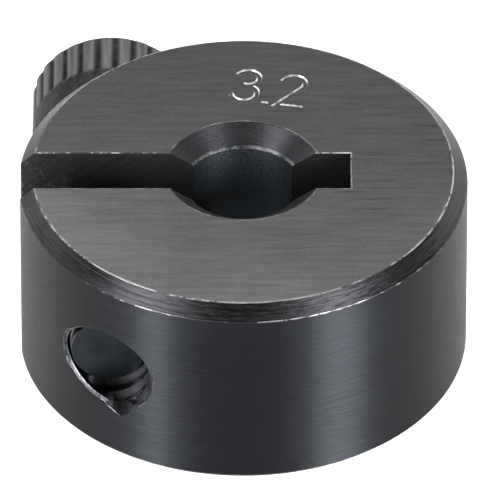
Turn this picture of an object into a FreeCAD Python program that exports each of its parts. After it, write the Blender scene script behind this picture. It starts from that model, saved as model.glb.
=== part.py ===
"""One-piece clamp-on shaft collar for a 1/8 in shaft, with its knurled socket-head clamp screw.

The origin is on the bore's axis at the bottom end face. +Z runs up the bore. The saw slot opens
at the rim on -X and ends beyond the bore on +X, which leaves the ring in one springy piece. The
clamp screw lies along Y on the -X side: its head sits in the +Y jaw and its thread holds the -Y
jaw. All lengths are in millimetres.
"""
import FreeCAD, Part
import math
import os

Vector = FreeCAD.Vector
INCH = 25.4

# Ring
BORE_DIAMETER = INCH / 8
OUTER_DIAMETER = INCH / 2
WIDTH = 6.1
TOP_CHAMFER = 0.40
BOTTOM_CHAMFER = 0.17
COUNTERSINK_DIAMETER = 4.44
COUNTERSINK_DEPTH = 0.42
BORE_EDGE_BREAK = 0.08

# Saw slot
SLOT_WIDTH = INCH / 16
SLOT_END_X = 3.04

# Screw position
SCREW_X = -3.78
SCREW_Z = WIDTH / 2
HEAD_SEAT_Y = 4.45

# Screw holes in the two jaws
HEAD_POCKET_DIAMETER = 4.90
CLEARANCE_HOLE_DIAMETER = 0.120 * INCH
TAPPED_HOLE_DIAMETER = 2.35

# Clamp screw, #4-40 UNC by 11/32 in
PITCH = INCH / 40
THREAD_DIAMETER = 2.82
THREAD_DEPTH = 0.35
THREAD_GAP = 0.04
SHANK_LENGTH = INCH * 11 / 32
TIP_CHAMFER = 0.36
NECK_LENGTH = 0.40
HEAD_DIAMETER = 4.52
HEAD_HEIGHT = 0.112 * INCH
HEAD_EDGE_CHAMFER = 0.20
BEARING_EDGE_CHAMFER = 0.10
KNURL_START = 1.20
KNURL_RIDGES = 27
KNURL_DEPTH = 0.11
KNURL_VALLEY_SHARE = 0.72
SOCKET_FLATS = INCH * 3 / 32
SOCKET_DEPTH = 1.35
SOCKET_CHAMFER = 0.08

# Worked out from the above
BORE_R = BORE_DIAMETER / 2
OUTER_R = OUTER_DIAMETER / 2
COUNTERSINK_R = COUNTERSINK_DIAMETER / 2
HEAD_R = HEAD_DIAMETER / 2
THREAD_R = THREAD_DIAMETER / 2
ROOT_R = THREAD_R - THREAD_DEPTH
TAPPED_R = TAPPED_HOLE_DIAMETER / 2
CREST_FLAT = PITCH / 8
FLANK_SLOPE = math.tan(math.radians(30))
TIP_Y = HEAD_SEAT_Y - SHANK_LENGTH
HEAD_END_Y = HEAD_SEAT_Y + HEAD_HEIGHT
OVERSHOOT = 2.0


def turned(profile, base, axis):
    """Solid of revolution of a closed profile about the axis through base."""
    face = Part.Face(Part.makePolygon(profile + [profile[0]]))
    return face.revolve(base, axis, 360)


def ring_blank():
    """The turned ring: chamfered rims, and a countersink and a broken edge at each bore end."""
    break_depth = COUNTERSINK_DEPTH + BORE_EDGE_BREAK
    lip_r = BORE_R + BORE_EDGE_BREAK
    outline = [
        (BORE_R, break_depth),
        (lip_r, COUNTERSINK_DEPTH),
        (COUNTERSINK_R, 0),
        (OUTER_R - BOTTOM_CHAMFER, 0),
        (OUTER_R, BOTTOM_CHAMFER),
        (OUTER_R, WIDTH - TOP_CHAMFER),
        (OUTER_R - TOP_CHAMFER, WIDTH),
        (COUNTERSINK_R, WIDTH),
        (lip_r, WIDTH - COUNTERSINK_DEPTH),
        (BORE_R, WIDTH - break_depth),
    ]
    profile = [Vector(r, 0, z) for r, z in outline]
    return turned(profile, Vector(0, 0, 0), Vector(0, 0, 1))


def saw_slot():
    """Square-ended cut from the -X rim through the bore to the relief end."""
    start_x = -OUTER_R - OVERSHOOT
    corner = Vector(start_x, -SLOT_WIDTH / 2, -OVERSHOOT)
    return Part.makeBox(SLOT_END_X - start_x, SLOT_WIDTH, WIDTH + 2 * OVERSHOOT, corner)


def screw_cylinder(radius, start_y, end_y):
    """Cylinder on the screw's axis."""
    base = Vector(SCREW_X, start_y, SCREW_Z)
    return Part.makeCylinder(radius, end_y - start_y, base, Vector(0, 1, 0))


def screw_turned(outline):
    """Solid turned about the screw's axis from (radius, y) points that start and end on it."""
    profile = [Vector(SCREW_X + r, y, SCREW_Z) for r, y in outline]
    return turned(profile, Vector(SCREW_X, 0, SCREW_Z), Vector(0, 1, 0))


def thread_rings(start_y, end_y, inner_r, outer_r, gap):
    """Outline of V-section rings at the thread's pitch between two heights on the axis.

    Rings stand for the helix, so the screw can turn in the jaw with the same gap all round.
    """
    side = gap / math.cos(math.radians(30))
    inner_half = CREST_FLAT / 2 + (THREAD_R - inner_r) * FLANK_SLOPE + side
    outer_half = CREST_FLAT / 2 + (THREAD_R - outer_r) * FLANK_SLOPE + side
    first = math.ceil((start_y - TIP_Y + inner_half) / PITCH)
    last = math.floor((end_y - TIP_Y - inner_half) / PITCH)
    outline = []
    for index in range(first, last + 1):
        centre = TIP_Y + index * PITCH
        outline.append((inner_r, centre - inner_half))
        outline.append((outer_r, centre - outer_half))
        outline.append((outer_r, centre + outer_half))
        outline.append((inner_r, centre + inner_half))
    return outline


def tapped_hole():
    """Cutter for the threaded hole in the -Y jaw."""
    far_y = -OUTER_R - OVERSHOOT
    outline = [(0, far_y), (TAPPED_R, far_y)]
    outline += thread_rings(far_y, 0, TAPPED_R, THREAD_R + THREAD_GAP, THREAD_GAP)
    outline += [(TAPPED_R, 0), (0, 0)]
    return screw_turned(outline)


def collar_body():
    """The whole ring: slot, head pocket, clearance hole and tapped hole cut from the blank."""
    body = ring_blank().cut(saw_slot())
    outside_y = OUTER_R + OVERSHOOT
    body = body.cut(screw_cylinder(HEAD_POCKET_DIAMETER / 2, HEAD_SEAT_Y, outside_y))
    body = body.cut(screw_cylinder(CLEARANCE_HOLE_DIAMETER / 2, 0, outside_y))
    return body.cut(tapped_hole())


def shank():
    """Threaded shank with a chamfered tip and a plain neck under the head."""
    neck_y = HEAD_SEAT_Y - NECK_LENGTH
    tip_r = THREAD_R - TIP_CHAMFER
    outline = [(0, TIP_Y), (tip_r, TIP_Y), (ROOT_R, TIP_Y + ROOT_R - tip_r)]
    outline += thread_rings(TIP_Y + TIP_CHAMFER, neck_y, ROOT_R, THREAD_R, 0)
    outline += [(ROOT_R, neck_y), (THREAD_R, neck_y), (THREAD_R, HEAD_SEAT_Y), (0, HEAD_SEAT_Y)]
    return screw_turned(outline)


def head_blank():
    """Turned head, chamfered at both ends."""
    outline = [
        (0, HEAD_SEAT_Y),
        (HEAD_R - BEARING_EDGE_CHAMFER, HEAD_SEAT_Y),
        (HEAD_R, HEAD_SEAT_Y + BEARING_EDGE_CHAMFER),
        (HEAD_R, HEAD_END_Y - HEAD_EDGE_CHAMFER),
        (HEAD_R - HEAD_EDGE_CHAMFER, HEAD_END_Y),
        (0, HEAD_END_Y),
    ]
    return screw_turned(outline)


def on_screw_circle(radius, angle, y):
    """Point at an angle round the screw's axis."""
    return Vector(SCREW_X + radius * math.cos(angle), y, SCREW_Z + radius * math.sin(angle))


def knurl_valleys():
    """V-shaped valleys round the head, cut straight along it from the plain band to the end.

    Each cutter is a V twice as deep as its valley, so its top is twice as wide as the valley's
    mouth.
    """
    start_y = HEAD_SEAT_Y + KNURL_START
    length = HEAD_END_Y - start_y + OVERSHOOT
    step = 2 * math.pi / KNURL_RIDGES
    half_top = KNURL_VALLEY_SHARE * step
    outer_r = HEAD_R + KNURL_DEPTH
    valleys = []
    for index in range(KNURL_RIDGES):
        angle = index * step
        bottom = on_screw_circle(HEAD_R - KNURL_DEPTH, angle, start_y)
        left = on_screw_circle(outer_r, angle - half_top, start_y)
        right = on_screw_circle(outer_r, angle + half_top, start_y)
        face = Part.Face(Part.makePolygon([bottom, left, right, bottom]))
        valleys.append(face.extrude(Vector(0, length, 0)))
    return valleys


def hex_socket():
    """Hexagonal key socket with a chamfered mouth and a drill-point bottom."""
    corner_r = SOCKET_FLATS / 2 / math.cos(math.pi / 6)
    floor_y = HEAD_END_Y - SOCKET_DEPTH
    corners = [on_screw_circle(corner_r, math.pi * k / 3, floor_y) for k in range(6)]
    hexagon = Part.Face(Part.makePolygon(corners + [corners[0]]))
    prism = hexagon.extrude(Vector(0, SOCKET_DEPTH + OVERSHOOT, 0))
    mouth_r = corner_r + SOCKET_CHAMFER
    mouth = screw_turned([(0, HEAD_END_Y - mouth_r), (mouth_r, HEAD_END_Y), (0, HEAD_END_Y)])
    point_r = SOCKET_FLATS / 2
    point = screw_turned([(0, floor_y - point_r * FLANK_SLOPE), (point_r, floor_y), (0, floor_y)])
    return prism.fuse([mouth, point])


def clamp_screw():
    """The screw as one solid."""
    head = head_blank().cut(knurl_valleys())
    return head.fuse(shank()).cut(hex_socket()).removeSplitter()


def main():
    os.makedirs("parts", exist_ok=True)
    parts = {
        "collar_body": collar_body(),
        "clamp_screw": clamp_screw(),
    }
    for name, shape in parts.items():
        if shape.ShapeType != "Solid":
            shape = shape.Solids[0]
        shape.exportStep("parts/" + name + ".step")


main()
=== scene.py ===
"""Looks of the one-piece shaft collar: a blackened steel split ring and its knurled clamp screw.

Both pieces are built here in millimetres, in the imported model's frame, and scaled to metres at
the end. +Z runs up the bore, the saw slot opens on -X, and the screw lies along Y.
"""
import math

import bpy
from mathutils import Matrix, Vector, noise


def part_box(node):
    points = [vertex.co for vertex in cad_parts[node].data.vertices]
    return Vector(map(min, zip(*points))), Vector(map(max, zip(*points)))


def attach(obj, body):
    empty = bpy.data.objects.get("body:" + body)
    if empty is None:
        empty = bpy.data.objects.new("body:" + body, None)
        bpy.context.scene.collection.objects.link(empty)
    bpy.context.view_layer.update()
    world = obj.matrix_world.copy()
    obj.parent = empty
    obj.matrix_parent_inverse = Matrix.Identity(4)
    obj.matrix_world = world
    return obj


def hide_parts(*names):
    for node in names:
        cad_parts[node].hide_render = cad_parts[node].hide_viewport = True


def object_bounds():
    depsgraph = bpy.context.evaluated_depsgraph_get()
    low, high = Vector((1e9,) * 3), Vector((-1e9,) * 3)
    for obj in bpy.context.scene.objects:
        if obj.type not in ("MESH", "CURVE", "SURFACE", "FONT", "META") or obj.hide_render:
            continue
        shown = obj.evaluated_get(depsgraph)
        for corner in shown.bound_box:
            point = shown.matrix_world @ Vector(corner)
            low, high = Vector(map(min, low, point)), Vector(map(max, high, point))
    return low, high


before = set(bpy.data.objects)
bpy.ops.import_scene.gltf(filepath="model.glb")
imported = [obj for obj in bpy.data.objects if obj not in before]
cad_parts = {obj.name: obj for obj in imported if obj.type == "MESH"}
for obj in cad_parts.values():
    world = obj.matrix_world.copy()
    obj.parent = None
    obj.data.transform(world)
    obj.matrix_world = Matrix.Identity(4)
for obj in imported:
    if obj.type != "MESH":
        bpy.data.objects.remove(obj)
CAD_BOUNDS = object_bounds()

MM = 0.001
TAU = 2 * math.pi
INCH = 25.4

# Ring
RING_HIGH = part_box("collar_body")[1]
OUTER_R = RING_HIGH[0] / MM
WIDTH = RING_HIGH[2] / MM
BORE_R = INCH / 16
TOP_CHAMFER = 0.40
BOTTOM_CHAMFER = 0.17
COUNTERSINK_R = 2.22
COUNTERSINK_DEPTH = 0.42
BORE_EDGE_BREAK = 0.08
SLOT_HALF = INCH / 32
SLOT_END_X = 3.04
SLOT_FLARE = 0.025
EDGE_SOFTNESS = 0.055
RING_STEPS = 720
SCREW_STEPS = 192
SHARP_ANGLE = 30
TURNED_SLANT = 0.45

# Clamp screw
SCREW_LOW, SCREW_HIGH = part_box("clamp_screw")
SCREW_X = -3.78
SCREW_Z = WIDTH / 2
HEAD_SEAT_Y = 4.45
SEAT_GAP = 0.005
HEAD_END_Y = SCREW_HIGH[1] / MM
TIP_Y = SCREW_LOW[1] / MM
HEAD_R = 2.26
POCKET_R = 2.45
CLEARANCE_R = 0.060 * INCH
TAPPED_R = 1.175
PITCH = INCH / 40
THREAD_R = 1.41
ROOT_R = 1.06
THREAD_GAP = 0.02
LEAD = (0.86, 1.26)
MOUTH_R = 1.235
MOUTH_BEVEL = 0.05
MOUTH_FLARE = 0.04
NECK_LENGTH = 0.40
TIP_CHAMFER = 0.36
TIP_FLARE = 0.10
BEARING_EDGE_CHAMFER = 0.10
KNURL_RIDGES = 27
KNURL_DEPTH = 0.07
KNURL_START_Y = HEAD_SEAT_Y + 1.20
KNURL_RUNOUT = 0.16
HEAD_EDGE_CHAMFER = 0.20
SOCKET_FLATS = INCH * 3 / 32
SOCKET_DEPTH = 1.35
SOCKET_CHAMFER = 0.08

# Depths under the rim between which the tapped hole's thread grows from nothing to whole
THREAD_RUNOUT = (0.08, 0.32)

# Distances from the screw's tip between which its thread's lead grows to the full diameter
LEAD = (0.86, 1.26)

# Torn notch at the hole's mouth: (degrees round the screw's axis, radius) of its corners, and depth
NOTCH = ((-97, 1.10), (-86, 1.40), (-77, 1.57), (-67, 1.45), (-46, 1.12))
NOTCH_DEPTH = 0.70

# Torn lips round the mouth: start and end angle, start and end offset outwards, and thickness
BURRS = (
    (150, 236, 0.020, 0.060, 0.026),
    (186, 216, 0.060, 0.110, 0.020),
    (228, 266, 0.050, 0.045, 0.026),
    (264, 282, 0.045, 0.330, 0.030),
    (-56, -36, 0.060, 0.035, 0.024),
    (-14, 20, 0.020, 0.020, 0.014),
)

# Generic size mark engraved on the top face, in a straight row turned a little
MARK_CENTRE = (0.73, 3.74)
MARK_TURN = -11
MARK_SPACING = 0.66
MARK_HALF_HEIGHT = 0.69
STROKE_HALF_WIDTH = 0.085
STROKE_FLOOR_SHARE = 0.55
STROKE_DEPTH = 0.035

# Studio, in metres, degrees and watts
WORLD_STRENGTH = 0.55
FLOOR_HALF = 1.5
FLOOR_DROP = 0.00001
FLOOR_GLOW = 0.50
LIGHT_DISTANCE = 0.30
CAMERA_ELEVATION = 38.73
CAMERA_DISTANCE = 0.432
CAMERA_HALF_VIEW = 0.00693

# Softboxes: name, azimuth, elevation, width, height and power
SOFTBOXES = (
    ("key_right", 45, 15, 0.085, 0.15, 3.9),
    ("key_left", -41, 15, 0.026, 0.15, 2.2),
    ("edge_left", -64, 47, 0.030, 0.06, 0.60),
    ("back_top", 180, 46, 0.30, 0.22, 0.36),
    ("rim_right", 122, 18, 0.22, 0.16, 0.30),
    ("rim_left", -114, 18, 0.18, 0.16, 0.34),
)


# ---------------------------------------------------------------- mesh building

def new_object(name, points, faces, slots=None, materials=()):
    """Mesh object in millimetres, with a material slot number for each face."""
    mesh = bpy.data.meshes.new(name)
    mesh.from_pydata(points, [], faces)
    for material in materials:
        mesh.materials.append(material)
    if slots is not None:
        mesh.polygons.foreach_set("material_index", slots)
    mesh.update()
    obj = bpy.data.objects.new(name, mesh)
    bpy.context.scene.collection.objects.link(obj)
    return obj


def boolean(obj, other, operation, from_triangles=False):
    """Apply one boolean to obj, carry the other solid's materials over, and delete that solid.

    Small solids can leave crossed outlines in larger faces, unless obj is split to triangles first.
    """
    if from_triangles:
        obj.modifiers.new("triangles", "TRIANGULATE")
    modifier = obj.modifiers.new("cut", "BOOLEAN")
    modifier.operation = operation
    modifier.solver = "MANIFOLD"
    modifier.material_mode = "TRANSFER"
    modifier.object = other
    graph = bpy.context.evaluated_depsgraph_get()
    result = bpy.data.meshes.new_from_object(obj.evaluated_get(graph))
    obj.modifiers.clear()
    old = obj.data
    obj.data = result
    result.name = old.name
    bpy.data.meshes.remove(old)
    bpy.data.objects.remove(other)


def soften(outline, radius):
    """Round each corner of a closed outline of (x, y, slot, corner_slot) points.

    The slot is that of the stretch that starts at the point, and corner_slot is the rounding's.
    """
    result = []
    count = len(outline)
    for index, (x, y, slot, corner_slot) in enumerate(outline):
        here = Vector((x, y))
        before = Vector(outline[index - 1][:2])
        after = Vector(outline[(index + 1) % count][:2])
        arriving = (here - before).normalized()
        leaving = (after - here).normalized()
        turn = arriving.angle(leaving)
        shorter = min((here - before).length, (after - here).length)
        reach = min(radius * math.tan(turn / 2), 0.3 * shorter)
        start = here - arriving * reach
        end = here + leaving * reach
        middle = here * 0.5 + (start + end) * 0.25
        result.append((start.x, start.y, corner_slot))
        result.append((middle.x, middle.y, corner_slot))
        result.append((end.x, end.y, slot))
    return result


def lathe_ring(name, outline, steps, materials):
    """Ring turned about Z from a closed outline of (radius, z, slot) points."""
    points = []
    faces = []
    slots = []
    count = len(outline)
    for step in range(steps):
        angle = TAU * step / steps
        for radius, z, _ in outline:
            points.append((radius * math.cos(angle), radius * math.sin(angle), z))
    for step in range(steps):
        here = step * count
        there = (step + 1) % steps * count
        for index in range(count):
            after = (index + 1) % count
            faces.append((here + index, there + index, there + after, here + after))
            slots.append(outline[index][2])
    return new_object(name, points, faces, slots, materials)


def on_screw(radius, angle, y):
    """Point round the clamp screw's axis."""
    return (SCREW_X + radius * math.cos(angle), y, SCREW_Z + radius * math.sin(angle))


def screw_solid(name, rows, steps, materials, reshape=None, first_cap=None):
    """Solid turned about the screw's axis from (radius, y, slot) rows, with a flat fan at each end.

    reshape(radius, y, angle) may give another (radius, y) for each point round the turn, and
    first_cap another slot for the first fan.
    """
    points = []
    faces = []
    slots = []
    for radius, y, _ in rows:
        for step in range(steps):
            angle = TAU * step / steps
            place = reshape(radius, y, angle) if reshape else (radius, y)
            points.append(on_screw(place[0], angle, place[1]))
    for row in range(len(rows) - 1):
        for step in range(steps):
            after = (step + 1) % steps
            low = row * steps
            high = low + steps
            faces.append((low + step, high + step, high + after, low + after))
            slots.append(rows[row][2])
    last = (len(rows) - 1) * steps
    add_fan(points, faces, list(range(steps)))
    add_fan(points, faces, list(range(last + steps - 1, last - 1, -1)))
    slots += [rows[0][2] if first_cap is None else first_cap] * steps
    slots += [rows[-1][2]] * steps
    return new_object(name, points, faces, slots, materials)


def add_fan(points, faces, loop):
    """Close a loop of points with triangles to a point on the screw's axis."""
    centre = len(points)
    points.append((SCREW_X, sum(points[index][1] for index in loop) / len(loop), SCREW_Z))
    for index, here in enumerate(loop):
        faces.append((here, loop[(index + 1) % len(loop)], centre))


def thread_rows(start_y, end_y, inner_r, outer_r, gap, slots):
    """Rows of V rings at the thread's pitch, between two places on the screw's axis.

    Rings stand for the helix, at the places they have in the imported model, so that the screw turns
    in the jaw with the same gap all round. slots are those of the lower flank, outer flat, upper
    flank and inner flat.
    """
    slope = math.tan(math.radians(30))
    side = gap / math.cos(math.radians(30))
    inner_half = PITCH / 16 + (THREAD_R - inner_r) * slope + side
    outer_half = PITCH / 16 + (THREAD_R - outer_r) * slope + side
    first = math.ceil((start_y - TIP_Y + inner_half) / PITCH)
    last = math.floor((end_y - TIP_Y - inner_half) / PITCH)
    rows = []
    for index in range(first, last + 1):
        centre = TIP_Y + index * PITCH
        rows += [
            (inner_r, centre - inner_half, slots[0]),
            (outer_r, centre - outer_half, slots[1]),
            (outer_r, centre + outer_half, slots[2]),
            (inner_r, centre + inner_half, slots[3]),
        ]
    return rows


def finish_mesh(obj, normal_rules=None):
    """Shade smooth between sharp edges and scale from millimetres to metres.

    normal_rules gives the true normal at a point for the slots of large plain surfaces, so that
    the thin triangles that holes leave in them don't show.
    """
    mesh = obj.data
    mesh.shade_smooth()
    mesh.set_sharp_from_angle(angle=math.radians(SHARP_ANGLE))
    if normal_rules:
        normals = [Vector((0, 0, 0))] * len(mesh.loops)
        for face in mesh.polygons:
            rule = normal_rules.get(face.material_index)
            for loop in face.loop_indices if rule else ():
                point = mesh.vertices[mesh.loops[loop].vertex_index].co
                normals[loop] = rule(point, math.copysign(1, face.normal.z)).normalized()
        mesh.normals_split_custom_set(normals)
    mesh.transform(Matrix.Scale(MM, 4))
    mesh.update()


def add_grain_map(obj):
    """UV map in plan, whose U axis runs across the ground end faces' marks."""
    mesh = obj.data
    layer = mesh.uv_layers.new(name="grain")
    for loop in mesh.loops:
        point = mesh.vertices[loop.vertex_index].co
        layer.data[loop.index].uv = (point.y, point.x)


# ---------------------------------------------------------------- materials

class Surface:
    """A principled material and short calls that wire its nodes. Lengths are in millimetres."""

    def __init__(self, name, base, roughness, metallic=1.0, anisotropy=0.0, turned=False):
        self.material = bpy.data.materials.new(name)
        self.material.use_nodes = True
        self.tree = self.material.node_tree
        self.tree.nodes.clear()
        output = self.tree.nodes.new("ShaderNodeOutputMaterial")
        self.shader = self.tree.nodes.new("ShaderNodeBsdfPrincipled")
        self.tree.links.new(self.shader.outputs["BSDF"], output.inputs["Surface"])
        self.set("Base Color", (*base, 1))
        self.set("Roughness", roughness)
        self.set("Metallic", metallic)
        self.set("Anisotropic", anisotropy)
        if anisotropy:
            tangent = self.node("ShaderNodeTangent", direction_type="RADIAL" if turned else "UV_MAP")
            if turned:
                tangent.axis = "Z"
                self.set("Anisotropic Rotation", 0.25)
            else:
                tangent.uv_map = "grain"
            self.set("Tangent", tangent.outputs["Tangent"])
        coordinates = self.tree.nodes.new("ShaderNodeTexCoord")
        in_mm = self.node("ShaderNodeVectorMath", operation="SCALE")
        self.tree.links.new(coordinates.outputs["Object"], in_mm.inputs[0])
        in_mm.inputs["Scale"].default_value = 1 / MM
        self.point = in_mm.outputs[0]
        split = self.node("ShaderNodeSeparateXYZ")
        self.tree.links.new(self.point, split.inputs[0])
        self.x, self.y, self.z = split.outputs

    def node(self, kind, **settings):
        made = self.tree.nodes.new(kind)
        for key, value in settings.items():
            setattr(made, key, value)
        return made

    def set(self, name, value):
        """Set or link one of the shader's sockets."""
        self.feed(self.shader.inputs[name], value)

    def feed(self, socket, value):
        if isinstance(value, bpy.types.NodeSocket):
            self.tree.links.new(value, socket)
        else:
            socket.default_value = value

    def math(self, operation, *values):
        made = self.node("ShaderNodeMath", operation=operation)
        for socket, value in zip(made.inputs, values):
            self.feed(socket, value)
        return made.outputs[0]

    def length(self, a, b):
        squares = (self.math("MULTIPLY", a, a), self.math("MULTIPLY", b, b))
        return self.math("SQRT", self.math("ADD", *squares))

    def mix_of(self, *parts):
        """Sum of (value, weight) pairs."""
        total = 0.0
        for value, weight in parts:
            total = self.math("ADD", total, self.math("MULTIPLY", value, weight))
        return total

    def fade(self, value, start, end, low=0.0, high=1.0):
        """Smooth step of value from low at start to high at end."""
        made = self.node("ShaderNodeMapRange", interpolation_type="SMOOTHSTEP")
        names = ("Value", "From Min", "From Max", "To Min", "To Max")
        for name, number in zip(names, (value, start, end, low, high)):
            self.feed(made.inputs[name], number)
        return made.outputs[0]

    def vector(self, x, y, z):
        made = self.node("ShaderNodeCombineXYZ")
        for socket, value in zip(made.inputs, (x, y, z)):
            self.feed(socket, value)
        return made.outputs[0]

    def noise(self, vector, scale, detail=2.0, roughness=0.55):
        made = self.node("ShaderNodeTexNoise")
        self.feed(made.inputs["Vector"], vector)
        for name, number in (("Scale", scale), ("Detail", detail), ("Roughness", roughness)):
            self.feed(made.inputs[name], number)
        return made.outputs["Fac"]

    def streaks(self, along, across, along_rate, across_rate, detail=2.0, seed=0.0):
        """Noise drawn out along one coordinate. Rates are in features a millimetre."""
        slow = self.math("MULTIPLY", along, along_rate)
        fast = self.math("MULTIPLY", across, across_rate)
        return self.noise(self.vector(slow, fast, seed), 1.0, detail)

    def blend(self, factor, first, second):
        made = self.node("ShaderNodeMix", data_type="RGBA")
        self.feed(made.inputs["Factor"], factor)
        for socket, value in ((made.inputs[6], first), (made.inputs[7], second)):
            self.feed(socket, value if isinstance(value, bpy.types.NodeSocket) else (*value, 1))
        return made.outputs[2]

    def bump(self, height, depth, strength=1.0):
        """Relief of a depth in millimetres for heights from 0 to 1."""
        made = self.node("ShaderNodeBump")
        self.feed(made.inputs["Height"], height)
        made.inputs["Distance"].default_value = depth * MM
        made.inputs["Strength"].default_value = strength
        self.set("Normal", made.outputs["Normal"])

    def radius(self):
        return self.length(self.x, self.y)

    def turn_angle(self):
        return self.math("ARCTAN2", self.y, self.x)

    def screw_radius(self):
        from_x = self.math("SUBTRACT", self.x, SCREW_X)
        return self.length(from_x, self.math("SUBTRACT", self.z, SCREW_Z))


BLACK_OXIDE = (0.0122, 0.0132, 0.0147)
BARE_STEEL = (0.30, 0.30, 0.30)


def edge_wear(s):
    """Share of bare metal on an end face: broken narrow lines along the slot, bore and rim."""
    from_slot = s.math("SUBTRACT", s.math("ABSOLUTE", s.y), SLOT_HALF)
    from_slot = s.math("MAXIMUM", from_slot, s.math("SUBTRACT", s.x, SLOT_END_X))
    from_bore = s.math("SUBTRACT", s.radius(), COUNTERSINK_R)
    from_rim = s.math("SUBTRACT", OUTER_R - TOP_CHAMFER, s.radius())
    nearest = s.math("MINIMUM", s.math("MINIMUM", from_slot, from_bore), from_rim)
    wander = s.math("MULTIPLY", s.math("SUBTRACT", s.noise(s.point, 3.0, 2.0), 0.5), 0.10)
    line = s.fade(s.math("ADD", nearest, wander), 0.020, 0.050, 0.55, 0.0)
    return s.math("MULTIPLY", line, s.fade(s.noise(s.point, 1.1, 3.0, 0.6), 0.42, 0.60))


def ground_face_material():
    """End face: ground before blackening, with fine lines along the slot, random blotches, and painted
    shade that darkens it towards the back and less at the front left.
    """
    s = Surface("ground_end_face", (0.12, 0.12, 0.124), 0.42, anisotropy=0.45)
    s.set("Specular Tint", (0.25, 0.25, 0.25, 1))
    fine = s.streaks(s.x, s.y, 0.9, 22.0, 3.0, 1.0)
    coarse = s.streaks(s.x, s.y, 0.35, 5.5, 2.0, 5.0)
    grain = s.noise(s.point, 24.0, 2.0)
    blotch = s.noise(s.point, 0.28, 2.0)
    past_bore = s.math("MAXIMUM", s.math("SUBTRACT", -2.0, s.x), 0.0)
    painted_light_by_mouth = s.math("MULTIPLY", past_bore, s.fade(s.y, -2.5, 1.5, 1.3, 0.3))
    # Painted shade and light: rubbed is low at the back (darker) and high at the front left by the
    # hole's mouth (lighter), plus random blotches
    rubbed = s.mix_of((s.y, -0.6), (painted_light_by_mouth, 1.0), (blotch, 5.0))
    tone = s.mix_of((fine, 0.45), (coarse, 0.25), (grain, 0.30))
    colour = s.blend(s.fade(tone, 0.38, 0.62), (0.097, 0.097, 0.100), (0.143, 0.143, 0.148))
    lines = s.streaks(s.x, s.y, 0.45, 9.0, 2.0, 9.0)
    scored = s.math("MULTIPLY", s.fade(lines, 0.60, 0.72, 0.0, 0.7), s.fade(s.x, -1.0, 4.5, 0.35, 1.0))
    colour = s.blend(scored, colour, (0.060, 0.060, 0.062))
    # Painted shade: darkens the face towards black where rubbed is low, mostly at the back
    colour = s.blend(s.fade(rubbed, -0.5, 10.0, 0.51, 0.0), colour, (0, 0, 0))
    s.set("Base Color", s.blend(edge_wear(s), colour, BARE_STEEL))
    s.set("Roughness", s.fade(fine, 0.3, 0.7, 0.38, 0.50))
    s.bump(tone, 0.0022)
    return s.material


def turned_material(name, base, roughness, anisotropy, line_rate, line_depth, contrast):
    """Surface turned on a lathe about Z: fine rings, grain along them and a slow drift of tone."""
    s = Surface(name, base, roughness, anisotropy=anisotropy, turned=True)
    around = s.math("MULTIPLY", s.turn_angle(), OUTER_R)
    across = s.math("ADD", s.z, s.math("MULTIPLY", s.radius(), TURNED_SLANT))
    rings = s.streaks(around, across, 0.25, line_rate, 2.0, 2.0)
    dashes = s.streaks(around, across, 2.6, 1.8 * line_rate, 2.0, 7.0)
    drift = s.noise(s.point, 0.55, 2.0)
    marks = s.mix_of((rings, 0.5), (dashes, 0.5))
    lighter = tuple((1 + contrast) * c for c in base)
    darker = tuple((1 - 0.6 * contrast) * c for c in base)
    colour = s.blend(s.fade(marks, 0.36, 0.64), darker, lighter)
    colour = s.blend(s.fade(drift, 0.35, 0.65, 0.0, 0.4), colour, lighter)
    s.set("Base Color", colour)
    s.set("Roughness", s.fade(dashes, 0.3, 0.7, roughness - 0.04, roughness + 0.05))
    s.bump(marks, line_depth)
    return s.material


def edge_material(name, bright, dark, coverage):
    """Rounded edge: oxide rubbed through to brighter steel along broken stretches."""
    s = Surface(name, bright, 0.36)
    broken = s.noise(s.point, 3.4, 4.0, 0.65)
    drift = s.noise(s.point, 0.45, 1.0)
    level = s.math("ADD", broken, s.math("MULTIPLY", s.math("SUBTRACT", drift, 0.5), 0.6))
    rubbed = s.fade(level, 0.62 - 0.3 * coverage, 0.74 - 0.3 * coverage)
    s.set("Base Color", s.blend(rubbed, dark, bright))
    s.set("Roughness", s.fade(broken, 0.3, 0.7, 0.28, 0.46))
    return s.material


def sawn_material():
    """Slot walls: shallow arcs left by the slitting saw, and a few pale streaks that fade out away
    from the slot's open end.
    """
    s = Surface("sawn_slot", BLACK_OXIDE, 0.48)
    blade = s.length(s.math("SUBTRACT", s.x, 9.0), s.math("SUBTRACT", s.z, -12.0))
    marks = s.streaks(blade, s.y, 7.0, 0.3, 2.0, 3.0)
    # Pale streaks, lightest at the slot's open end and gone about 2 mm in
    pale_streaks_by_opening = s.fade(s.noise(s.point, 5.0, 3.0, 0.7), 0.56, 0.68)
    pale_streaks_by_opening = s.math("MULTIPLY", pale_streaks_by_opening, s.fade(s.x, -5.9, -3.9, 1.0, 0.0))
    colour = s.blend(s.fade(marks, 0.35, 0.7), (0.025, 0.026, 0.028), (0.033, 0.034, 0.036))
    s.set("Base Color", s.blend(pale_streaks_by_opening, colour, (0.085, 0.085, 0.085)))
    s.bump(marks, 0.002)
    return s.material


def drilled_material(name, base, roughness, patchiness):
    """Screw holes and threads: rings round the screw's axis and a patchy tone."""
    s = Surface(name, base, roughness)
    rings = s.noise(s.vector(0.0, s.math("MULTIPLY", s.y, 16.0), 0.0), 1.0, 3.0)
    drift = s.noise(s.point, 2.6, 3.0)
    lighter = tuple((1 + patchiness) * c for c in base)
    s.set("Base Color", s.blend(s.fade(drift, 0.45, 0.72), base, lighter))
    s.set("Roughness", s.fade(drift, 0.3, 0.7, roughness - 0.06, roughness + 0.08))
    s.bump(s.mix_of((rings, 0.5), (drift, 0.5)), 0.003)
    return s.material


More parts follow.
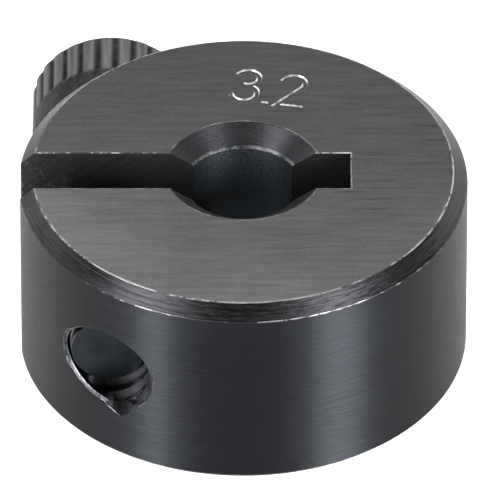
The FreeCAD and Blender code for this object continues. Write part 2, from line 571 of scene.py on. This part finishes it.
def thread_crest_material():
    """Crests of the tapped thread: dark, with painted glints on the side away from the bore, where the
    lights would catch them.
    """
    s = Surface("thread_crest", (0.02, 0.02, 0.02), 0.32)
    # Painted glints: crests are lighter only on one side of the screw's axis, standing in for light
    # caught there
    side = s.fade(s.math("SUBTRACT", s.x, SCREW_X), 0.45, 0.90)
    patches = s.fade(s.noise(s.point, 4.5, 3.0), 0.44, 0.58)
    painted_glints = s.math("MULTIPLY", side, patches)
    s.set("Base Color", s.blend(painted_glints, (0.009, 0.009, 0.010), (0.19, 0.19, 0.195)))
    s.bump(patches, 0.004)
    return s.material


def mouth_material():
    """Bevel at the tapped hole's mouth: torn bright on its lower left, where the tap broke out."""
    s = Surface("torn_mouth", (0.1, 0.1, 0.1), 0.38)
    offset_x = s.math("SUBTRACT", s.x, SCREW_X)
    offset_z = s.math("SUBTRACT", s.z, SCREW_Z)
    lean = s.fade(s.mix_of((offset_x, -0.80), (offset_z, -0.60)), -0.2, 1.0, -0.15, 0.08)
    broken = s.math("ADD", lean, s.noise(s.point, 5.0, 4.0, 0.65))
    torn = s.fade(broken, 0.48, 0.60)
    s.set("Base Color", s.blend(torn, (0.013, 0.013, 0.0145), (0.055, 0.055, 0.058)))
    return s.material


def knurl_material():
    """Head of the screw: rubbed lighter on the ridge crests, with painted shade darkening the valleys
    and the plain band next to the ring.
    """
    s = Surface("screw_head", (0.08, 0.08, 0.083), 0.42)
    s.set("Specular Tint", (0.5, 0.5, 0.5, 1))
    painted_valley_shade = s.fade(s.screw_radius(), HEAD_R - KNURL_DEPTH, HEAD_R - 0.01)
    band = s.fade(s.y, KNURL_START_Y - 0.05, KNURL_START_Y + 0.15, 0.12, 1.0)
    grain = s.noise(s.point, 7.0, 4.0, 0.6)
    # Painted shade: the knurl's valleys and the plain band by the ring take the dark colour
    colour = s.blend(s.math("MULTIPLY", painted_valley_shade, band), (0.024, 0.024, 0.025), (0.125, 0.125, 0.127))
    colour = s.blend(s.fade(grain, 0.45, 0.72, 0.0, 0.25), colour, (0.12, 0.12, 0.122))
    s.set("Base Color", colour)
    s.set("Roughness", s.fade(grain, 0.3, 0.7, 0.36, 0.50))
    s.bump(grain, 0.004)
    return s.material


def screw_end_material():
    """Flat ends of the screw: smooth cold-formed steel with faint turning rings."""
    s = Surface("screw_end", (0.026, 0.030, 0.034), 0.46)
    rings = s.noise(s.vector(s.math("MULTIPLY", s.screw_radius(), 9.0), 0.0, 0.0), 1.0, 2.0)
    drift = s.noise(s.point, 1.6, 3.0)
    tone = s.fade(drift, 0.3, 0.7)
    s.set("Base Color", s.blend(tone, (0.0105, 0.0126, 0.0147), (0.0161, 0.0182, 0.0203)))
    s.bump(s.mix_of((rings, 0.5), (drift, 0.5)), 0.0015)
    return s.material


# Material slots of the ring, in the order of ring_materials
FACE, RIM, CHAMFER, CONE, BORE, TOP_EDGE, RIM_EDGE = range(7)
LIP_EDGE, SLOT_EDGE, SAWN, HOLE, CREST, BURR, MOUTH, MARK = range(7, 15)


def ring_materials():
    """The ring's materials, in the order of its slots."""
    return [
        ground_face_material(),
        turned_material("turned_rim", BLACK_OXIDE, 0.45, 0.90, 18.0, 0.0016, 0.25),
        turned_material("turned_chamfer", (0.0130, 0.0130, 0.0142), 0.40, 0.60, 30.0, 0.0030, 1.1),
        turned_material("turned_countersink", (0.0205, 0.0212, 0.0228), 0.45, 0.5, 20.0, 0.0020, 0.4),
        turned_material("reamed_bore", (0.044, 0.051, 0.058), 0.45, 0.3, 12.0, 0.0010, 0.2),
        edge_material("rubbed_top_edge", (0.30, 0.295, 0.29), (0.075, 0.075, 0.077), 0.75),
        edge_material("rubbed_rim_edge", (0.085, 0.085, 0.085), (0.020, 0.020, 0.021), 0.45),
        edge_material("rubbed_bore_lip", (0.070, 0.070, 0.072), (0.036, 0.037, 0.039), 0.70),
        edge_material("rubbed_slot_edge", BARE_STEEL, (0.060, 0.060, 0.062), 0.60),
        sawn_material(),
        drilled_material("drilled_hole", (0.007, 0.007, 0.0078), 0.44, 0.8),
        thread_crest_material(),
        edge_material("torn_burr", (0.095, 0.098, 0.102), (0.024, 0.025, 0.027), 0.50),
        mouth_material(),
        edge_material("engraving_wall", (0.36, 0.36, 0.36), (0.20, 0.20, 0.20), 0.9),
    ]


# ---------------------------------------------------------------- ring

def ring_blank(materials):
    """The turned ring: chamfered rims, a countersink at each bore end, and softened edges."""
    lip_r = BORE_R + BORE_EDGE_BREAK
    break_depth = COUNTERSINK_DEPTH + BORE_EDGE_BREAK
    outline = [
        (BORE_R, break_depth, LIP_EDGE, BORE),
        (lip_r, COUNTERSINK_DEPTH, CONE, LIP_EDGE),
        (COUNTERSINK_R, 0, FACE, LIP_EDGE),
        (OUTER_R - BOTTOM_CHAMFER, 0, CHAMFER, TOP_EDGE),
        (OUTER_R, BOTTOM_CHAMFER, RIM, RIM_EDGE),
        (OUTER_R, WIDTH - TOP_CHAMFER, CHAMFER, RIM_EDGE),
        (OUTER_R - TOP_CHAMFER, WIDTH, FACE, TOP_EDGE),
        (COUNTERSINK_R, WIDTH, CONE, LIP_EDGE),
        (lip_r, WIDTH - COUNTERSINK_DEPTH, LIP_EDGE, LIP_EDGE),
        (BORE_R, WIDTH - break_depth, BORE, BORE),
    ]
    return lathe_ring("split_ring", soften(outline, EDGE_SOFTNESS), RING_STEPS, materials)


def slot_cutter(materials):
    """Saw cut from the -X rim to the relief end, flared where it meets each end face."""
    beyond = 1.0
    start_x = -OUTER_R - beyond
    levels = [
        (-beyond, SLOT_FLARE + beyond),
        (SLOT_FLARE, 0.0),
        (WIDTH - SLOT_FLARE, 0.0),
        (WIDTH + beyond, SLOT_FLARE + beyond),
    ]
    points = []
    for z, grow in levels:
        half = SLOT_HALF + grow
        end_x = SLOT_END_X + grow
        points += [(start_x, -half, z), (end_x, -half, z), (end_x, half, z), (start_x, half, z)]
    faces = [(3, 2, 1, 0), (12, 13, 14, 15)]
    slots = [SAWN, SAWN]
    for level in range(3):
        for corner in range(4):
            here = level * 4 + corner
            after = level * 4 + (corner + 1) % 4
            faces.append((here, after, after + 4, here + 4))
            slots.append(SAWN if level == 1 else SLOT_EDGE)
    return new_object("slot_cutter", points, faces, slots, materials)


def rim_y(radius, angle):
    """Where the ring's outer wall lies on the -Y side, at a place round the screw's axis."""
    x = SCREW_X + radius * math.cos(angle)
    return -math.sqrt(OUTER_R ** 2 - x ** 2)


def hole_cutters(materials):
    """Head pocket, clearance hole, tapped hole with its bevelled mouth, and the torn notch there."""
    beyond = OUTER_R + 2
    rows = [(POCKET_R, HEAD_SEAT_Y, HOLE), (POCKET_R, beyond, HOLE)]
    pocket = screw_solid("pocket", rows, 256, materials)
    rows = [(CLEARANCE_R, 0, HOLE), (CLEARANCE_R, beyond, HOLE)]
    clearance = screw_solid("clearance", rows, SCREW_STEPS, materials)

    def runout(radius, y, angle):
        depth = OUTER_R - math.hypot(on_screw(radius, angle, y)[0], y)
        share = (depth - THREAD_RUNOUT[0]) / (THREAD_RUNOUT[1] - THREAD_RUNOUT[0])
        return TAPPED_R + (radius - TAPPED_R) * min(max(share, 0.0), 1.0), y

    slots = (HOLE, HOLE, HOLE, CREST)
    rows = [(TAPPED_R, -beyond, CREST)]
    rows += thread_rows(-beyond, 0, TAPPED_R, THREAD_R + THREAD_GAP, THREAD_GAP, slots)
    rows.append((TAPPED_R, 0, CREST))
    tapped = screw_solid("tapped", rows, SCREW_STEPS, materials, runout)

    def follow_rim(radius, depth, angle):
        return radius, rim_y(radius, angle) + depth

    rows = [
        (MOUTH_R + MOUTH_FLARE, -1.5, MOUTH),
        (MOUTH_R + MOUTH_FLARE, -MOUTH_BEVEL * 0.6, MOUTH),
        (TAPPED_R, MOUTH_BEVEL, MOUTH),
        (TAPPED_R - 0.15, MOUTH_BEVEL, MOUTH),
    ]
    mouth = screw_solid("mouth", rows, SCREW_STEPS, materials, follow_rim)
    return [pocket, clearance, tapped, mouth, notch_cutter(materials)]


def notch_cutter(materials):
    """Wedge torn out of the tapped hole's mouth by the tap, wide at the rim and narrow inside."""
    outline = [(math.radians(degrees), radius) for degrees, radius in NOTCH]
    count = len(outline)
    tip_angle, tip_r = outline[count // 2]
    outer_y = rim_y(tip_r, tip_angle) - 0.8
    points = [on_screw(radius, angle, outer_y) for angle, radius in outline]
    points += [on_screw(radius, angle, rim_y(radius, angle)) for angle, radius in outline]
    points.append(on_screw(0.75 * TAPPED_R, tip_angle, rim_y(TAPPED_R, tip_angle) + NOTCH_DEPTH))
    points.append(on_screw(0.95 * TAPPED_R, tip_angle, outer_y))
    faces = []
    for here in range(count):
        after = (here + 1) % count
        faces.append((count + here, count + after, after, here))
        faces.append((2 * count, count + after, count + here))
        faces.append((here, after, 2 * count + 1))
    return new_object("notch", points, faces, [HOLE] * len(faces), materials)


def burr_curls(materials):
    """Thin torn lips round the tapped hole's mouth, thickest where the tap came out."""
    curls = []
    for start, end, start_offset, end_offset, thickness in BURRS:
        count = max(int(abs(end - start) / 2), 6)
        path = []
        for index in range(count + 1):
            share = index / count
            angle = math.radians(start + (end - start) * share)
            wander = 0.02 * noise.noise(Vector((7.0 * angle, start_offset * 10, 0.0)))
            radius = MOUTH_R + start_offset + (end_offset - start_offset) * share + wander
            swell = thickness * math.sin(math.pi * share) ** 0.5
            swell *= 0.75 + 0.6 * noise.noise(Vector((11.0 * angle, 3.0, start_offset * 10)))
            path.append((Vector(on_screw(radius, angle, rim_y(radius, angle))), max(swell, 0.003)))
        curls.append(curl_solid(path, materials))
    return curls


def curl_solid(path, materials):
    """Closed tube of five sides along (point, radius) pairs."""
    sides = 5
    points = []
    for index, (centre, radius) in enumerate(path):
        before = path[max(index - 1, 0)][0]
        after = path[min(index + 1, len(path) - 1)][0]
        along = (after - before).normalized()
        outward = Vector((centre.x, centre.y, 0)).normalized()
        sideways = along.cross(outward).normalized()
        outward = sideways.cross(along)
        for side in range(sides):
            angle = TAU * side / sides
            points.append(centre + radius * (math.cos(angle) * outward + math.sin(angle) * sideways))
    faces = []
    for index in range(len(path) - 1):
        for side in range(sides):
            here = index * sides + side
            after = index * sides + (side + 1) % sides
            faces.append((here, after, after + sides, here + sides))
    last = (len(path) - 1) * sides
    faces += [tuple(range(sides - 1, -1, -1)), tuple(range(last, last + sides))]
    return new_object("curl", points, faces, [BURR] * len(faces), materials)


def mark_strokes():
    """Centre lines of the mark, the bore size 3.2 in millimetres, as lists of (u, v) points."""
    top = MARK_HALF_HEIGHT
    upper, lower = 0.46 * top, 0.54 * top

    def arc(radius, centre, start, end, steps=30):
        angles = [math.radians(start + (end - start) * k / steps) for k in range(steps + 1)]
        return [(radius * math.cos(angle), centre + radius * math.sin(angle)) for angle in angles]

    three = [arc(upper, top - upper, 150, -90), arc(lower, lower - top, 90, -150)]
    point = [[(-0.02, -top), (0.02, -top)]]
    two = [arc(upper, top - upper, 160, -35) + [(-upper, -top), (1.1 * upper, -top)]]
    return (three, point, two)


def groove_solid(line, place, materials):
    """Cutter along a centre line: sloping walls, a flat floor and square ends."""
    floor_half = STROKE_FLOOR_SHARE * STROKE_HALF_WIDTH
    over = 0.1
    slope = (STROKE_HALF_WIDTH - floor_half) / STROKE_DEPTH
    section = ((floor_half, -STROKE_DEPTH), (STROKE_HALF_WIDTH + slope * over, over))
    points = []
    last = len(line) - 1
    for index, node in enumerate(line):
        here = Vector(node)
        arriving = (here - Vector(line[index - 1])).normalized() if index else None
        leaving = (Vector(line[index + 1]) - here).normalized() if index < last else arriving
        arriving = leaving if arriving is None else arriving
        along = (arriving + leaving).normalized()
        side = Vector((-along.y, along.x)) / max(along.dot(leaving), 0.5)
        if index == 0:
            here = here - along * STROKE_HALF_WIDTH
        if index == last:
            here = here + along * STROKE_HALF_WIDTH
        for half, z in section:
            for sign in (-1, 1):
                point = here + side * half * sign
                points.append(place(point.x, point.y) + Vector((0, 0, z)))
    faces = []
    slots = []
    for low in range(0, 4 * last, 4):
        high = low + 4
        for first, second, slot in ((0, 1, FACE), (2, 0, MARK), (3, 2, MARK), (1, 3, MARK)):
            faces.append((low + first, low + second, high + second, high + first))
            slots.append(slot)
    end = 4 * last
    faces += [(2, 3, 1, 0), (end, end + 1, end + 3, end + 2)]
    slots += [MARK, MARK]
    return new_object("groove", points, faces, slots, materials)


def mark_cutters(materials):
    """Grooves of the generic size mark."""
    turn = math.radians(MARK_TURN)
    along = Vector((math.cos(turn), math.sin(turn), 0))
    up = Vector((-math.sin(turn), math.cos(turn), 0))
    centre = Vector((*MARK_CENTRE, WIDTH))
    cutters = []
    for index, strokes in enumerate(mark_strokes()):
        shift = (index - 1) * MARK_SPACING

        def place(u, v, shift=shift):
            return centre + along * (shift + u) + up * v

        cutters += [groove_solid(line, place, materials) for line in strokes]
    return cutters


def split_ring():
    """The ring, cut and marked, with the true normals of its plain surfaces."""
    materials = ring_materials()
    ring = ring_blank(materials)
    for cutter in [slot_cutter(materials)] + hole_cutters(materials) + mark_cutters(materials):
        boolean(ring, cutter, "DIFFERENCE")
    for curl in burr_curls(materials):
        boolean(ring, curl, "UNION", from_triangles=True)

    def end_face(point, up):
        return Vector((0, 0, up))

    def wall(point, up):
        return Vector((point.x, point.y, 0))

    def bore(point, up):
        return -wall(point, up)

    def chamfer(point, up):
        return wall(point, up).normalized() + Vector((0, 0, up))

    def cone(point, up):
        spread = COUNTERSINK_R - BORE_R - BORE_EDGE_BREAK
        return bore(point, up).normalized() * COUNTERSINK_DEPTH + Vector((0, 0, up * spread))

    add_grain_map(ring)
    finish_mesh(ring, {FACE: end_face, RIM: wall, BORE: bore, CHAMFER: chamfer, CONE: cone})
    return ring


# ---------------------------------------------------------------- clamp screw

# Material slots of the screw, in the order of screw_materials
HEAD, SHANK, END, SOCKET, TIP = range(5)


def screw_materials():
    """The screw's materials, in the order of its slots."""
    return [
        knurl_material(),
        drilled_material("screw_thread", (0.060, 0.061, 0.064), 0.36, 1.2),
        screw_end_material(),
        drilled_material("key_socket", (0.030, 0.030, 0.032), 0.40, 1.2),
        drilled_material("screw_tip", (0.016, 0.016, 0.017), 0.40, 1.0),
    ]


def knurled_head(radius, y, angle):
    """Shape of the head with straight ridges that run out into the plain band."""
    fade_in = min(max((y - KNURL_START_Y) / KNURL_RUNOUT, 0), 1)
    valley = (0.5 - 0.5 * math.cos(KNURL_RIDGES * angle)) ** 1.6
    return min(radius, HEAD_R - KNURL_DEPTH * fade_in * valley), y


def head_solid(materials):
    """Knurled head, SEAT_GAP clear of the pocket's floor so that the two pieces don't touch."""
    edge_y = HEAD_END_Y - HEAD_EDGE_CHAMFER
    rows = [
        (HEAD_R - BEARING_EDGE_CHAMFER, HEAD_SEAT_Y + SEAT_GAP, END),
        (HEAD_R, HEAD_SEAT_Y + BEARING_EDGE_CHAMFER, HEAD),
    ]
    rows += [(HEAD_R, KNURL_START_Y + KNURL_RUNOUT / 4 * k, HEAD) for k in range(5)]
    for k in range(8):
        inset = HEAD_EDGE_CHAMFER * (k / 8) ** 1.5
        rows.append((HEAD_R - inset, edge_y + HEAD_EDGE_CHAMFER * k / 8, HEAD))
    rows.append((HEAD_R - HEAD_EDGE_CHAMFER, HEAD_END_Y, END))
    return screw_solid("clamp_screw_knurled", rows, KNURL_RIDGES * 20, materials, knurled_head)


def shank_solid(materials):
    """Thread trimmed to the shank's envelope, whose lead stays clear of the hole's thread runout."""
    tip_r = THREAD_R - TIP_CHAMFER
    rows = [(ROOT_R, TIP_Y - 1, SHANK)]
    rows += thread_rows(TIP_Y - 1, HEAD_SEAT_Y, ROOT_R, THREAD_R, 0, [SHANK] * 4)
    rows.append((ROOT_R, HEAD_SEAT_Y + 0.1, SHANK))
    thread = screw_solid("thread", rows, SCREW_STEPS, materials)
    rows = [
        (tip_r, TIP_Y, TIP),
        (tip_r + TIP_FLARE, TIP_Y + LEAD[0], SHANK),
        (THREAD_R + 0.01, TIP_Y + LEAD[1], SHANK),
        (THREAD_R + 0.01, HEAD_SEAT_Y - 0.30, SHANK),
        (ROOT_R - 0.05, HEAD_SEAT_Y - 0.29, SHANK),
        (ROOT_R - 0.05, HEAD_SEAT_Y + 0.2, SHANK),
    ]
    envelope = screw_solid("envelope", rows, SCREW_STEPS, materials, first_cap=END)
    boolean(thread, envelope, "INTERSECT")
    rows = [(THREAD_R, HEAD_SEAT_Y - NECK_LENGTH, SHANK), (THREAD_R, HEAD_SEAT_Y + 0.2, SHANK)]
    boolean(thread, screw_solid("neck", rows, SCREW_STEPS, materials), "UNION")
    return thread


def socket_cutter(materials):
    """Hexagonal key socket with a chamfered mouth and a drill-point bottom."""
    corner_r = SOCKET_FLATS / 2 / math.cos(math.pi / 6)
    floor_y = HEAD_END_Y - SOCKET_DEPTH
    rows = [
        (0.02, floor_y - 0.6, SOCKET),
        (corner_r, floor_y, SOCKET),
        (corner_r, HEAD_END_Y + 1, SOCKET),
    ]
    hexagon = screw_solid("socket", rows, 6, materials)
    mouth_r = corner_r + SOCKET_CHAMFER
    rows = [(0.02, HEAD_END_Y - mouth_r, END), (mouth_r + 0.5, HEAD_END_Y + 0.5, END)]
    boolean(hexagon, screw_solid("mouth", rows, 96, materials), "UNION")
    return hexagon


def clamp_screw():
    """The screw as one solid."""
    materials = screw_materials()
    screw = head_solid(materials)
    boolean(screw, shank_solid(materials), "UNION")
    boolean(screw, socket_cutter(materials), "DIFFERENCE")
    finish_mesh(screw)
    return screw


# ---------------------------------------------------------------- studio

def direction_from(azimuth, elevation):
    """Unit vector outwards from the object. Azimuth 0 is towards -Y and grows towards +X."""
    angle = math.radians(azimuth)
    rise = math.radians(elevation)
    flat = math.cos(rise)
    return Vector((math.sin(angle) * flat, -math.cos(angle) * flat, math.sin(rise)))


def add_facing(name, data, target, direction, distance):
    """Light or camera placed round the target and turned to face it."""
    obj = bpy.data.objects.new(name, data)
    obj.location = target + direction * distance
    obj.rotation_euler = direction.to_track_quat("Z", "Y").to_euler()
    bpy.context.scene.collection.objects.link(obj)
    return obj


def floor_material():
    """White floor with a glow of its own, which hides the object's grey contact shadow."""
    material = bpy.data.materials.new("studio_floor")
    material.use_nodes = True
    inputs = material.node_tree.nodes["Principled BSDF"].inputs
    inputs["Base Color"].default_value = (0.55, 0.55, 0.55, 1)
    inputs["Roughness"].default_value = 0.9
    inputs["Specular IOR Level"].default_value = 0.1
    inputs["Emission Color"].default_value = (1, 1, 1, 1)
    inputs["Emission Strength"].default_value = FLOOR_GLOW
    return material


def studio(target):
    """White floor and world, and the softboxes that make the bands on the ring's wall."""
    half = FLOOR_HALF
    corners = [(-half, -half, 0), (half, -half, 0), (half, half, 0), (-half, half, 0)]
    mesh = bpy.data.meshes.new("studio_floor")
    mesh.from_pydata(corners, [], [(0, 1, 2, 3)])
    mesh.materials.append(floor_material())
    floor = bpy.data.objects.new("studio_floor", mesh)
    floor.location.z = -FLOOR_DROP
    bpy.context.scene.collection.objects.link(floor)

    world = bpy.data.worlds.new("studio_world")
    world.use_nodes = True
    background = world.node_tree.nodes["Background"].inputs
    background["Color"].default_value = (1, 1, 1, 1)
    background["Strength"].default_value = WORLD_STRENGTH
    bpy.context.scene.world = world

    for name, azimuth, elevation, width, height, watts in SOFTBOXES:
        light = bpy.data.lights.new(name, "AREA")
        light.shape = "RECTANGLE"
        light.size = width
        light.size_y = height
        light.energy = watts
        add_facing(name, light, target, direction_from(azimuth, elevation), LIGHT_DISTANCE)


def camera(target):
    """Camera at the front, aimed at the middle of the object."""
    data = bpy.data.cameras.new("camera")
    data.sensor_width = 36
    data.lens = data.sensor_width / 2 * CAMERA_DISTANCE / CAMERA_HALF_VIEW
    data.clip_start = 0.01
    data.clip_end = 10
    direction = direction_from(0, CAMERA_ELEVATION)
    obj = add_facing("camera", data, target, direction, CAMERA_DISTANCE)
    bpy.context.scene.camera = obj


# ---------------------------------------------------------------- build

def main():
    """Build both pieces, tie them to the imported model, and set up the studio."""
    ring = split_ring()
    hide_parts("collar_body")
    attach(ring, "collar")
    screw = clamp_screw()
    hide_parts("clamp_screw")
    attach(screw, "screw")
    low, high = CAD_BOUNDS
    target = (Vector(low) + Vector(high)) / 2
    studio(target)
    camera(target)
    bpy.context.scene.view_settings.view_transform = "Standard"


main()
